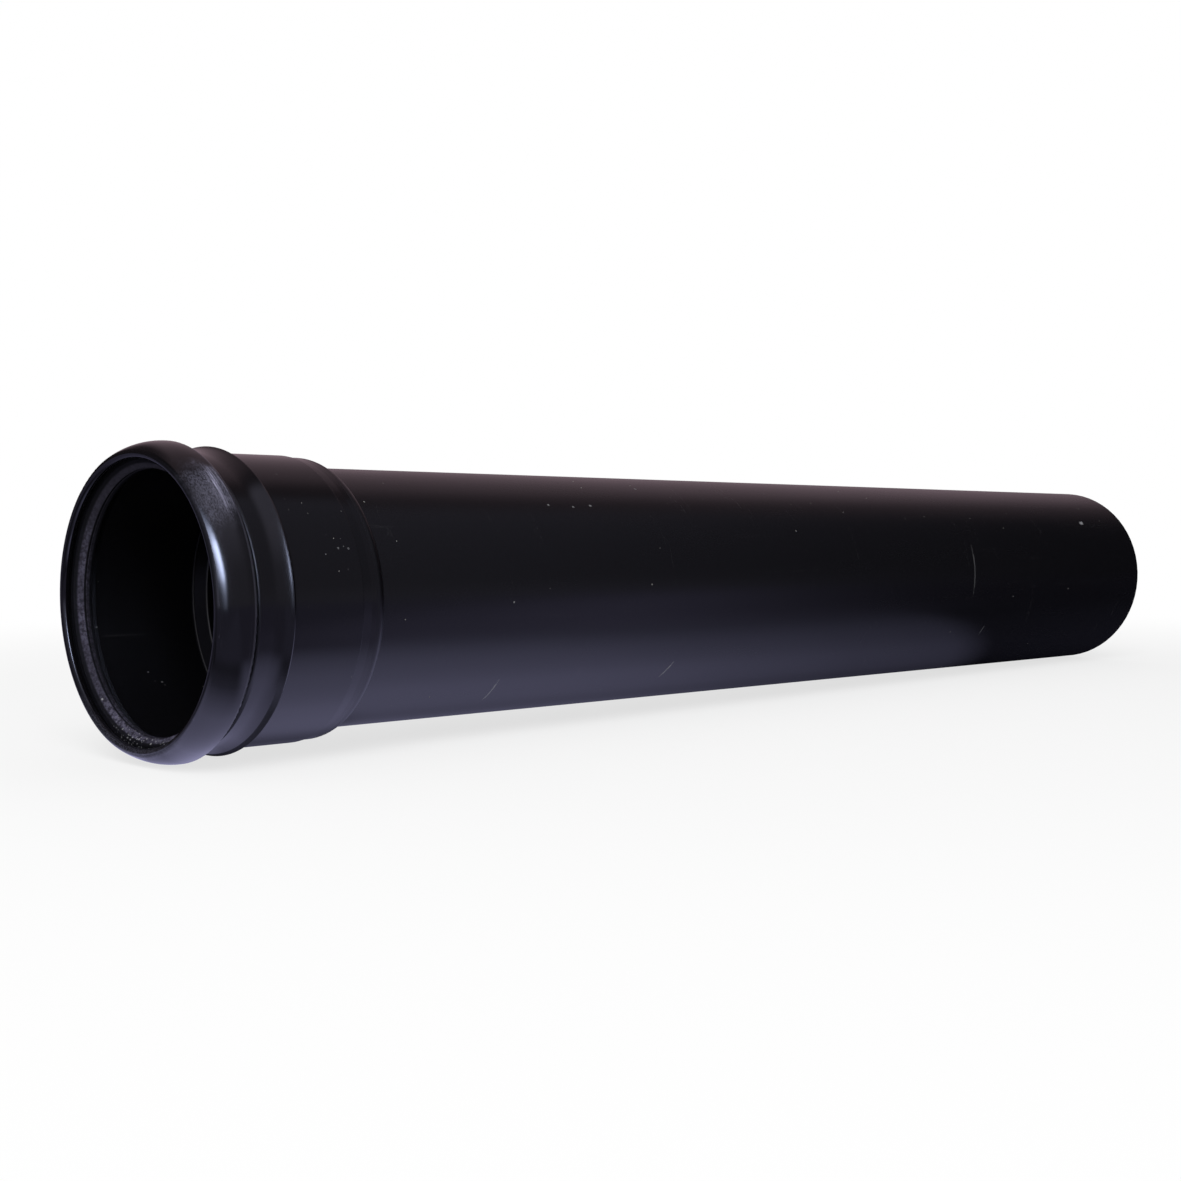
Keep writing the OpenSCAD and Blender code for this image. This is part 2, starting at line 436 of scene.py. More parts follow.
socket = {
    "colour": (0.0026, 0.0025, 0.0032, 1),
    "chalk": (0.24, 0.24, 0.26, 1),
    "dust": (0.36, 0.35, 0.33, 1),
    "roughness": 0.17,
    "wander": 0.08,
    "boreRoughness": 0.30,
    "shoulderRoughness": 0.34,
    "slitRoughness": 0.95,
    "sleeveEndRoughness": 0.32,
    "dullRoughness": 0.85,
    "markRoughness": 0.5,
    "rubbedRoughness": 0.6,
    "dustRoughness": 0.75,
    "grain": {"Draw Along": 0.8, "Draw Across": 0.8, "Grain": 1800.0, "Waves": 60.0},
    "bump": (0.22, 0.00006),
    "boreRadius": 0.0572,
    "edges": [  # the stop's start and end, inside
        {"along": 0.0605, "half": 0.0006, "rise": 0.00022},
        {"along": 0.0655, "half": 0.0007, "rise": 0.00025},
    ],
    "shoulder": (0.0175, 0.0192),  # behind the open slit, its gloss is duller
    "slit": (0.0140, 0.0182),
    "slitRadius": 0.0595,  # below this the slit's skin is rough
    "undersides": [(0.0148, 0.0199), (0.0303, 0.0345)],  # dull low down, behind the cap and on the ring
    "undersideHeight": (-0.044, -0.020),  # they are dull below the first and fade out by the second
    "seatBevel": (0.0120, 0.0141),  # inside, behind the seal
    "stop": (0.0598, 0.0662),
    "sleeveEnd": (0.0735, 0.0800),
    "lowerHeight": (-0.012, 0.030),  # what lies low fades out between these heights over the axis
    "undersideSoft": 0.0003,
    "slopeSoft": 0.00005,
    # slopes drawn softer than the bare shape, so that they stay in the dark
    "slopes": [
        {"start": 0.0110, "end": 0.0141, "tilt": 1.20, "inside": True, "upper": False},
        {"start": 0.0605, "end": 0.0655, "tilt": 0.60, "inside": True, "upper": True},
        {"start": 0.0665, "end": 0.0709, "tilt": -0.10, "inside": False, "upper": False},
    ],
    "stopEdgeHighlights": [  # painted highlights on the stop's edges: along, half width, how pale each is painted
        {"along": 0.0606, "half": 0.0003, "pale": 0.26},
        {"along": 0.0654, "half": 0.0005, "pale": 0.32},
    ],
    "scuffs": {"scale": (520, 90, 90), "width": 0.008, "broken": 0.66, "strength": 0.10},
    "specks": {"spacing": 0.0050, "speck": 0.045, "share": 0.25, "strength": 0.3},
    "rubbed": {"at": (0.0590, 24.0), "half": (0.0070, 11.0), "ragged": 1.2, "strength": 0.30, "relief": 0.8},
    "crumbs": {"spacing": 0.0022, "speck": 0.2, "share": 0.5},  # what the rubbed patch is made of
    "fray": 260.0,
    "marks": [
        {"at": (0.0325, -145.4), "half": (0.0005, 0.4), "strength": 0.40},
        {"at": (0.0341, -140.6), "half": (0.0004, 0.35), "strength": 0.28},
        {"at": (0.0372, -139.9), "half": (0.0006, 0.5), "strength": 0.42},
        {"at": (0.0379, -138.2), "half": (0.0004, 0.35), "strength": 0.30},
        {"at": (0.0138, -167.4), "half": (0.0006, 0.5), "strength": 0.40},
        {"at": (0.0265, -163.3), "half": (0.0140, 0.5), "strength": 0.035},
    ],
}


def socketSlopes(tree, at, inside, outside, lower):
    # the swell that softens the stop's edges and the steep slopes
    edges = times(tree, swells(tree, at, socket["edges"]), inside)
    for slope in socket["slopes"]:
        where = times(tree, band(tree, at, slope["start"], slope["end"], socket["slopeSoft"]), slope["tilt"])
        reached = minus(tree, slope["end"], at["Along"])
        where = times(tree, where, times(tree, reached, inside if slope["inside"] else outside))
        if slope["upper"]:
            where = times(tree, where, inverse(tree, lower))
        edges = plus(tree, edges, where)
    return edges


def makeSocketPlastic():
    material, tree, shader = newMaterial("socketPlastic")
    at = place(tree, pipeCoordinates)
    grain = grained(tree, at, socket["grain"])
    scuffs = scratched(tree, at, socket["scuffs"])
    specks = dusted(tree, at, socket["specks"])
    rag = frayNoise(tree, at, socket["fray"])
    rubbed = patched(tree, at, rag, socket["rubbed"], ragged=socket["rubbed"]["ragged"])
    rubbed = times(tree, dusted(tree, at, socket["crumbs"]), rubbed)
    rubbed = times(tree, rubbed, socket["rubbed"]["strength"])
    inside = calc(tree, "LESS_THAN", at["Radius"], socket["boreRadius"])
    outside = inverse(tree, inside)
    rise = addNode(tree, "ShaderNodeSeparateXYZ", {0: at["Straight"]}).outputs[2]
    lower = ramp(tree, rise, *socket["lowerHeight"], 1.0, 0.0)

    marks = times(tree, scuffs, socket["scuffs"]["strength"])
    marks = addMarks(tree, at, rag, socket["marks"], marks)
    for edge in socket["stopEdgeHighlights"]:  # the painted highlights on the stop's edges fade out towards the top
        line = times(tree, times(tree, ridgeAt(tree, at, edge), inside), times(tree, lower, edge["pale"]))
        marks = larger(tree, marks, line)
    # the pale colour shows the real marks and the painted highlights on the stop's edges
    colour = blendColour(tree, marks, socket["colour"], socket["chalk"])
    colour = blendColour(tree, rubbed, colour, socket["chalk"])
    colour = blendColour(tree, times(tree, specks, socket["specks"]["strength"]), colour, socket["dust"])

    bevel, stop = band(tree, at, *socket["seatBevel"]), band(tree, at, *socket["stop"])
    dull = times(tree, inside, plus(tree, bevel, stop))
    deep = calc(tree, "LESS_THAN", at["Radius"], socket["slitRadius"])
    slit = times(tree, times(tree, band(tree, at, *socket["slit"]), deep), outside)
    beneath = 0.0
    for start, end in socket["undersides"]:
        beneath = plus(tree, band(tree, at, start, end, socket["undersideSoft"]), beneath)
    beneath = times(tree, beneath, ramp(tree, rise, *socket["undersideHeight"], 1.0, 0.0))
    roughness = layered(
        tree,
        wandering(tree, grain, socket),
        [
            (inside, socket["boreRoughness"]),
            (band(tree, at, *socket["shoulder"]), socket["shoulderRoughness"]),
            (slit, socket["slitRoughness"]),
            (times(tree, beneath, outside), socket["slitRoughness"]),
            (band(tree, at, *socket["sleeveEnd"]), socket["sleeveEndRoughness"]),
            (times(tree, dull, lower), socket["dullRoughness"]),
            (marks, socket["markRoughness"]),
            (rubbed, socket["rubbedRoughness"]),
            (specks, socket["dustRoughness"]),
        ],
    )
    height = plus(tree, grain["Height"], times(tree, rubbed, socket["rubbed"]["relief"]))
    edges = socketSlopes(tree, at, inside, outside, lower)
    finishShader(tree, shader, colour, roughness, height, socket["bump"], edges)
    shader.inputs["IOR"].default_value = plasticIor
    return material


cap = {
    "colour": (0.0026, 0.0025, 0.0032, 1),
    "chalk": (0.37, 0.365, 0.51, 1),
    "roughness": 0.12,
    "wander": 0.06,
    "markRoughness": 0.5,
    "grain": {"Draw Along": 1.0, "Draw Across": 0.7, "Grain": 1500.0, "Waves": 55.0},
    "bump": (0.16, 0.00005),
    "markDepth": -0.8,
    # a painted highlight along the cap's rear edge: where it lies, and how pale it is
    "rearEdge": (0.0138, 0.0152),
    "rearHighlight": 0.045,
    "ringRubs": {"scale": (2900, 27, 27), "width": 0.055, "broken": 0.37, "strength": 0.85},
    "allRound": {
        "scale": (900, 30, 30),
        "shift": (3, 5, 1),
        "width": 0.010,
        "broken": 0.64,
        "strength": 0.08,
    },
    "fray": 160.0,
    # rubbed places: scratched strongly towards the rear edge, a haze over the crown that is also a
    # painted sheen beside the highlight, and the rim's foot, dragged over the ground
    "scratched": {"at": (0.0112, 46), "half": (0.0046, 15), "haze": 0.07},
    "rubbedHazeAndSheen": {"at": (0.0078, 45), "half": (0.0090, 19), "haze": 0.10},
    "foot": {"at": (0.0, -98), "half": (0.0030, 48), "haze": 0.06},
    "footRadius": (0.0560, 0.0571),
    "speckle": {"scale": (3200, 900, 900), "level": (0.36, 0.66), "haze": (0.2, 1.7)},
}


def makeCapPlastic():
    material, tree, shader = newMaterial("capPlastic")
    at = place(tree, pipeCoordinates)
    grain = grained(tree, at, cap["grain"])
    ringRubs = scratched(tree, at, cap["ringRubs"])
    allRound = scratched(tree, at, cap["allRound"])
    rag = frayNoise(tree, at, cap["fray"])
    worn = {name: patched(tree, at, rag, cap[name]) for name in ("scratched", "rubbedHazeAndSheen", "foot")}
    speckle = noise(tree, stretch(tree, at["Straight"], cap["speckle"]["scale"]), 1.0, 3.0, 0.7)
    speckle = ramp(tree, speckle, *cap["speckle"]["level"], *cap["speckle"]["haze"])
    pale = times(tree, times(tree, ringRubs, worn["scratched"]), cap["ringRubs"]["strength"])
    # the crown's haze is partly rubbed plastic and partly a painted sheen beside the highlight
    hazes = [times(tree, worn[name], cap[name]["haze"]) for name in ("scratched", "rubbedHazeAndSheen")]
    haze = times(tree, plus(tree, *hazes), speckle)
    pale = larger(tree, pale, times(tree, allRound, cap["allRound"]["strength"]))
    marks = calc(tree, "ADD", pale, haze, clamp=True)
    foot = times(tree, times(tree, worn["foot"], ramp(tree, at["Radius"], *cap["footRadius"])), speckle)
    marks = larger(tree, marks, times(tree, foot, cap["foot"]["haze"]))
    # the painted highlight on the cap's rear edge
    marks = larger(tree, marks, times(tree, band(tree, at, *cap["rearEdge"]), cap["rearHighlight"]))
    # the pale colour shows real scratches and rubbing, the painted sheen and the painted rear-edge highlight
    colour = blendColour(tree, marks, cap["colour"], cap["chalk"])
    roughness = layered(tree, wandering(tree, grain, cap), [(marks, cap["markRoughness"])])
    height = plus(tree, grain["Height"], times(tree, marks, cap["markDepth"]))
    finishShader(tree, shader, colour, roughness, height, cap["bump"])
    shader.inputs["IOR"].default_value = plasticIor
    return material


seal = {
    "colour": (0.018, 0.0165, 0.024, 1),
    "bloom": (0.100, 0.094, 0.140, 1),
    # the colour of the painted shade in the seal's hollows
    "recess": (0.004, 0.004, 0.005, 1),
    "worn": (0.45, 0.45, 0.48, 1),
    "roughness": 0.58,
    "bloomRoughness": 0.15,  # what the full bloom adds
    "specular": 0.07,
    "grain": {"Draw Along": 1.0, "Draw Across": 1.0, "Grain": 2600.0, "Waves": 420.0},
    "bump": (0.4, 0.0001),
    "fineBloom": 700.0,
    "fineLevel": (0.34, 0.66),
    "broadBloom": (90, 45, 45),
    "broadLevel": (0.36, 0.62, 0.35, 1.0),
    "bloomHeight": (-0.010, 0.048),  # the bloom thins out between these heights over the axis
    "bloomAtTop": 0.12,
    "heelEnd": (0.0054, 0.0060),  # the painted shade of the groove between the rim and the lip fades out here
    "lipGroove": (0.0076, 0.0087),
    "behindGroove": 0.7,
    "landEnd": (0.0096, 0.0099),
    "lipEnd": 0.012,
    "recessCover": 0.95,
    "fray": 500.0,
    "foot": {"at": (0.0062, -94.0), "half": (0.0026, 27.0), "ragged": 1.0, "strength": 0.45},
    "crumbs": {"spacing": 0.0011, "speck": 0.36, "share": 0.5},  # the wear at the seal's foot
    "marks": [
        {"at": (0.0030, -109), "half": (0.0005, 0.8), "strength": 0.7},
        {"at": (0.0062, -132), "half": (0.0004, 0.7), "strength": 0.5},
    ],
}


def sealPaintedShade(tree, at):
    # painted shade where the seal's skin lies in the dark: its heel, the groove in the lip and past the land
    groove = seal["lipGroove"]
    recess = ramp(tree, at["Along"], *seal["heelEnd"], 1.0, 0.0)
    recess = larger(tree, recess, band(tree, at, *groove))
    behind = times(tree, band(tree, at, groove[1], seal["lipEnd"]), seal["behindGroove"])
    recess = larger(tree, recess, behind)
    return larger(tree, recess, ramp(tree, at["Along"], *seal["landEnd"]))


def makeSealRubber():
    material, tree, shader = newMaterial("sealRubber")
    at = place(tree, pipeCoordinates)
    fine = ramp(tree, noise(tree, at["Straight"], seal["fineBloom"], 4.0, 0.6), *seal["fineLevel"])
    broad = noise(tree, stretch(tree, at["Straight"], seal["broadBloom"]), 1.0, 2.0)
    broad = ramp(tree, broad, *seal["broadLevel"])
    height = addNode(tree, "ShaderNodeSeparateXYZ", {0: at["Straight"]}).outputs[2]
    # the bloom is lighter low down and thins out upward
    fadesUpward = ramp(tree, height, *seal["bloomHeight"], 1.0, seal["bloomAtTop"])
    bloom = times(tree, times(tree, fine, broad), fadesUpward)
    grain = grained(tree, at, seal["grain"])
    rag = frayNoise(tree, at, seal["fray"])
    crumbs = dusted(tree, at, seal["crumbs"])
    lowest = patched(tree, at, rag, seal["foot"], ragged=seal["foot"]["ragged"])
    worn = addMarks(tree, at, rag, seal["marks"], 0.0)
    worn = larger(tree, worn, times(tree, times(tree, crumbs, lowest), seal["foot"]["strength"]))
    # painted shade darkens the seal's hollows
    recess = times(tree, sealPaintedShade(tree, at), seal["recessCover"])
    colour = blendColour(tree, bloom, seal["colour"], seal["bloom"])
    colour = blendColour(tree, recess, colour, seal["recess"])
    colour = blendColour(tree, worn, colour, seal["worn"])
    roughness = plus(tree, times(tree, bloom, seal["bloomRoughness"]), seal["roughness"])
    finishShader(tree, shader, colour, roughness, grain["Height"], seal["bump"])
    shader.inputs["Specular IOR Level"].default_value = seal["specular"]
    return material


finishes = {
    "pipe": makeTubePlastic(),
    "socket_body": makeSocketPlastic(),
    "seal_cap": makeCapPlastic(),
    "ring_seal": makeSealRubber(),
}
for name, material in finishes.items():
    mesh = nodes[name].data
    for index in range(max(1, len(mesh.materials))):
        if index < len(mesh.materials):
            mesh.materials[index] = material
        else:
            mesh.materials.append(material)
print("stage: materials assigned")


# the hollow flank that runs from the socket's neck up to its collar ring

flank = {
    "neckRadius": 0.0600,
    "collarAt": 0.0323,
    "collarRound": 0.0018,
    "touch": 26.0,  # degrees, how steep the hollow is where it touches the ring
    "crest": 29.5,  # and where it ends in the crest
    "crestRound": 0.00022,
    "crestTurn": 100.0,  # how far round the crest goes
    "crestSteps": 6,
    "back": (0.0009, 0.0010),  # its closed back, past the ring's middle and over the neck
    "rootDepth": 0.0004,  # how far its closed foot lies under the neck
    "steps": 14,
    "turns": 288,
    "sunk": 0.00001,  # how far its start lies under the skin
    "sharpEdge": 0.6,  # radians, past which its shading breaks
}


def flankProfile():
    # (along, radius) from the neck up the hollow, over the crest and back inside the ring
    ring, neck, middleAlong = flank["collarRound"], flank["neckRadius"], flank["collarAt"]
    touch, end = math.radians(flank["touch"]), math.radians(flank["crest"])
    hollow = ring * math.cos(touch) / (1 - math.cos(touch))
    start = middleAlong - (ring + hollow) * math.sin(touch)
    points = []
    for i in range(flank["steps"] + 1):
        turn = end * i / flank["steps"]
        rise = hollow * (1 - math.cos(turn)) - flank["sunk"]
        points.append((start + hollow * math.sin(turn), neck + rise))
    along, radius = points[-1]
    small = flank["crestRound"]
    middle = (along + small * math.sin(end), radius - small * math.cos(end))
    for i in range(1, flank["crestSteps"] + 1):
        turn = end - math.radians(flank["crestTurn"]) * i / flank["crestSteps"]
        points.append((middle[0] - small * math.sin(turn), middle[1] + small * math.cos(turn)))
    behind, over = flank["back"]
    points.append((middleAlong + behind, neck + over))
    points.append((middleAlong + behind, neck - flank["rootDepth"]))
    points.append((start, neck - flank["rootDepth"]))
    return points


def makeFlank():
    profile = flankProfile()
    turns, row = flank["turns"], len(profile)
    points = [
        tuple(onPipe(along, 360 * k / turns, radius)) for k in range(turns) for along, radius in profile
    ]
    faces = []
    for k in range(turns):
        following = (k + 1) % turns
        for i in range(row):
            after = (i + 1) % row
            faces.append((k * row + i, k * row + after, following * row + after, following * row + i))
    mesh = newMesh("collarFlank", points, faces)
    shape = bmesh.new()
    shape.from_mesh(mesh)
    bmesh.ops.recalc_face_normals(shape, faces=shape.faces)
    for edge in shape.edges:
        edge.smooth = edge.calc_face_angle(0.0) < flank["sharpEdge"]
    for face in shape.faces:
        face.smooth = True
    shape.to_mesh(mesh)
    shape.free()
    mesh.materials.append(finishes["socket_body"])
    piece = addObject("collarFlank", mesh)
    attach(piece, "root")
    print("stage: collar flank made,", len(mesh.polygons), "faces")


makeFlank()


# grit, scattered by Geometry Nodes

grit = {
    "colour": (0.42, 0.41, 0.39, 1),
    "darker": (0.2, 0.19, 0.18, 1),
    "roughness": 0.8,
    "wander": 0.1,
    "bump": (0.3, 0.00005),
    "tone": 900.0,
    "lumps": 1.7,
    "seed": 7,
    "flattened": (1.0, 0.8, 0.45),
    "turn": (0.0, 6.283),
    "grow": (0.45, 1.25),
    "patches": [  # along and around are ranges
        {
            "name": "tube", "along": (0.10, 0.69), "around": (35, 72),
            "radius": 0.0550, "count": 14, "size": 0.00020,
        },
        {
            "name": "barrel", "along": (0.040, 0.066), "around": (5, 48),
            "radius": 0.05965, "count": 10, "size": 0.00018,
        },
        {
            "name": "socketFloor", "along": (0.018, 0.056), "around": (-110, -60),
            "radius": 0.0553, "count": 12, "size": 0.00024,
        },
    ],
}


def randomIn(tree, low, high):
    return addNode(tree, "FunctionNodeRandomValue", {2: low, 3: high}, data_type="FLOAT").outputs[1]


def makeGritTree(material):
    tree = bpy.data.node_groups.new("gritScatter", "GeometryNodeTree")
    face = tree.interface
    face.new_socket("Geometry", in_out="INPUT", socket_type="NodeSocketGeometry")
    for label, kind, value in (("Count", "Float", 10.0), ("Grain Size", "Float", 0.0002), ("Seed", "Int", 0)):
        face.new_socket(label, in_out="INPUT", socket_type="NodeSocket" + kind).default_value = value
    face.new_socket("Geometry", in_out="OUTPUT", socket_type="NodeSocketGeometry")
    given = tree.nodes.new("NodeGroupInput").outputs
    out = tree.nodes.new("NodeGroupOutput").inputs
    area = addNode(tree, "GeometryNodeAttributeStatistic", {"Geometry": given["Geometry"]}, domain="FACE")
    tree.links.new(addNode(tree, "GeometryNodeInputMeshFaceArea").outputs[0], area.inputs["Attribute"])
    density = calc(tree, "DIVIDE", given["Count"], area.outputs["Sum"])
    points = addNode(
        tree,
        "GeometryNodeDistributePointsOnFaces",
        {"Mesh": given["Geometry"], "Density": density, "Seed": given["Seed"]},
    )
    grain = addNode(tree, "GeometryNodeMeshIcoSphere", {"Radius": 1.0, "Subdivisions": 1})
    rough = addNode(tree, "ShaderNodeTexNoise", {"Scale": grit["lumps"]})
    lump = addNode(
        tree, "ShaderNodeVectorMath", {0: rough.outputs["Color"], 1: (0.5, 0.5, 0.5)}, operation="SUBTRACT"
    )
    shaped = addNode(
        tree, "GeometryNodeSetPosition", {"Geometry": grain.outputs["Mesh"], "Offset": lump.outputs[0]}
    )
    spin = addNode(tree, "ShaderNodeCombineXYZ", {2: randomIn(tree, *grit["turn"])})
    facing = addNode(
        tree,
        "FunctionNodeRotateRotation",
        {"Rotation": points.outputs["Rotation"], "Rotate By": spin.outputs[0]},
        rotation_space="LOCAL",
    )
    size = times(tree, randomIn(tree, *grit["grow"]), given["Grain Size"])
    flat = addNode(tree, "ShaderNodeVectorMath", {0: grit["flattened"]}, operation="SCALE")
    tree.links.new(size, flat.inputs["Scale"])
    where = {"Points": points.outputs["Points"], "Instance": shaped.outputs[0]}
    where.update({"Rotation": facing.outputs[0], "Scale": flat.outputs[0]})
    placed = addNode(tree, "GeometryNodeInstanceOnPoints", where).outputs[0]
    solid = addNode(tree, "GeometryNodeRealizeInstances", {"Geometry": placed}).outputs[0]
    painted = addNode(tree, "GeometryNodeSetMaterial", {"Geometry": solid, "Material": material})
    tree.links.new(painted.outputs[0], out["Geometry"])
    return tree


def makeSkinPatchMesh(patch, steps=24):
    points, faces = [], []
    low, high = patch["along"]
    start, end = patch["around"]
    for i in range(steps + 1):
        along = low + (high - low) * i / steps
        for k in range(steps + 1):
            around = start + (end - start) * k / steps
            points.append(tuple(onPipe(along, around, patch["radius"])))
    width = steps + 1
    for i in range(steps):
        for k in range(steps):
            corner = i * width + k
            faces.append((corner, corner + 1, corner + 1 + width, corner + width))
    return newMesh(patch["name"] + "Bed", points, faces)


def makeGritMaterial():
    material, tree, shader = newMaterial("paleGrit")
    at = place(tree, pipeCoordinates)
    tone = noise(tree, at["Straight"], grit["tone"], 2.0)
    colour = blendColour(tree, tone, grit["colour"], grit["darker"])
    roughness = plus(tree, times(tree, tone, grit["wander"]), grit["roughness"])
    finishShader(tree, shader, colour, roughness, tone, grit["bump"])
    return material


def scatterGrit():
    tree = makeGritTree(makeGritMaterial())
    sockets = {item.name: item.identifier for item in tree.interface.items_tree if item.in_out == "INPUT"}
    made = []
    for number, patch in enumerate(grit["patches"]):
        bed = addObject(patch["name"] + "Bed", makeSkinPatchMesh(patch))
        modifier = bed.modifiers.new("grit", "NODES")
        modifier.node_group = tree
        modifier[sockets["Count"]] = float(patch["count"])
        modifier[sockets["Grain Size"]] = patch["size"]
        modifier[sockets["Seed"]] = grit["seed"] + number
        made.append(bed)
    bpy.context.view_layer.update()
    shapes = bpy.context.evaluated_depsgraph_get()
    points, faces = [], []
    for bed in made:
        grains = bpy.data.meshes.new_from_object(bed.evaluated_get(shapes))
        first = len(points)
        points += [tuple(v.co) for v in grains.vertices]
        faces += [tuple(first + i for i in f.vertices) for f in grains.polygons]
        bpy.data.meshes.remove(grains)
        bpy.data.objects.remove(bed)
    joined = newMesh("surfaceGrit", points, faces)
    joined.materials.append(bpy.data.materials["paleGrit"])
    piece = addObject("surfaceGrit", joined)
    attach(piece, "root")
    print("stage: grit scattered,", len(faces), "faces")


scatterGrit()


# floor, world, lamps and camera

studio = {
    "floorSize": 24.0,
    "floorColour": (0.80, 0.80, 0.80, 1),
    "floorFade": (0.30, 0.85, 0.72, 1.0),  # from, to, and how white it is at both
    "worldLight": 0.50,
    "lampPlace": (-1.30, -1.20, 1.50),
    "lampAim": (-0.1, 0, 0.05),
    "lampSize": (1.3, 1.3),
    "lampPower": 36.0,
    # what only gloss sees: the pale sheet under the pipe, its brightness along X and across Y
    "sheetTint": (0.63, 0.62, 1.0, 1),
    "sheetGlow": 1.6,
    "sheetAlong": [
        (-0.50, 0.13), (-0.425, 0.28), (-0.400, 0.70), (-0.375, 1.0), (-0.345, 1.05), (-0.32, 0.78),
        (-0.25, 0.72), (-0.13, 0.56), (0.0, 0.33), (0.09, 0.22), (0.19, 0.15), (0.23, 0.025),
    ],
    # across Y, its dark core along the pipe is a painted shadow of the pipe
    "sheetAcross": [
        (0.0, 0.12), (0.012, 0.14), (0.018, 0.27), (0.025, 0.56), (0.032, 0.79), (0.042, 1.0),
        (0.072, 1.0), (0.092, 0.80), (0.104, 0.62), (0.126, 0.0),
    ],
    # past the socket the pipe's foot lets more light under it
    "liftedFrom": (-0.28, -0.24),
    "liftedAcross": (0.014, 0.032, 0.15, 0.0),
    "mouthStart": (-0.332, -0.310),  # before these the sheet is lit otherwise, under the mouth
    # under the mouth its dip near the middle is a painted shadow as well
    "mouthAcross": [
        (-0.126, 0.05), (-0.080, 0.10), (-0.055, 0.25), (-0.035, 0.62), (-0.020, 0.60), (0.0, 0.34),
        (0.012, 0.46), (0.024, 1.0), (0.050, 1.0), (0.066, 0.60), (0.080, 0.25), (0.100, 0.12),
        (0.126, 0.05),
    ],
    "pastSheet": (0.30, 0.28, 0.47, 1),
    "pastAlong": [
        (-0.30, 0.52), (-0.20, 0.90), (-0.04, 1.0), (0.10, 0.45), (0.20, 0.22), (0.30, 0.08),
        (0.45, 0.05),
    ],
    "pastStart": (0.10, 0.13),  # how far beside the pipe it starts
    "pastLean": 1.2,  # its glow ends on a slant, sooner along the farther beside the pipe
    "pastLeanFrom": 0.16,
    # the dim room: its brightness to the right, and behind
    "roomRight": [
        (0.35, 0.22), (0.50, 0.15), (0.66, 0.13), (0.72, 0.10), (0.78, 0.05), (0.82, 0.025),
        (0.87, 0.006), (0.92, 0.004),
    ],
    "roomLow": [(0.35, 1.0), (0.58, 1.3), (0.65, 1.8), (0.72, 1.9), (0.80, 1.3), (0.86, 0.5)],
    "roomLowTop": (0.0, 0.20),
    "roomHigh": (0.35, 0.85, 1.0, 2.2),
    "roomHighEnd": (0.2, 0.6),
    "roomBehind": [(0.0, 0.20), (0.15, 0.28), (0.24, 0.58), (0.33, 0.82), (0.55, 1.0), (0.76, 1.25)],
    "roomTint": (1.0, 0.96, 1.25),
    "behindColour": (0.26, 0.19, 0.22),
    "behindFarther": (0.55, 0.85, 1.08, 1.32),
    "behindTurned": (-0.62, -0.38, 0.10, 1.0),
    "behindStart": (-0.10, 0.06),
    # what the rim sees on the mouth's side, from the front to the back
    "mouthSide": [(-0.65, 0.85), (-0.40, 0.46), (-0.20, 0.30), (0.10, 0.22), (0.35, 0.12), (0.75, 0.05)],
    "mouthTint": (0.90, 0.90, 1.25),
    "mouthSideEnd": (-0.62, -0.42),
}


def curveOf(tree, value, stops):
    # a smooth grey curve through (value, height) stops
    first, last = stops[0][0], stops[-1][0]
    share = calc(tree, "DIVIDE", minus(tree, value, first), last - first, clamp=True)
    node = addNode(tree, "ShaderNodeValToRGB", {"Fac": share})
    elements = node.color_ramp.elements
    while len(elements) < len(stops):
        elements.new(0.5)
    for element, (position, height) in zip(elements, stops):
        element.position = (position - first) / (last - first)
        element.color = (height, height, height, 1)
    return node.outputs[0]


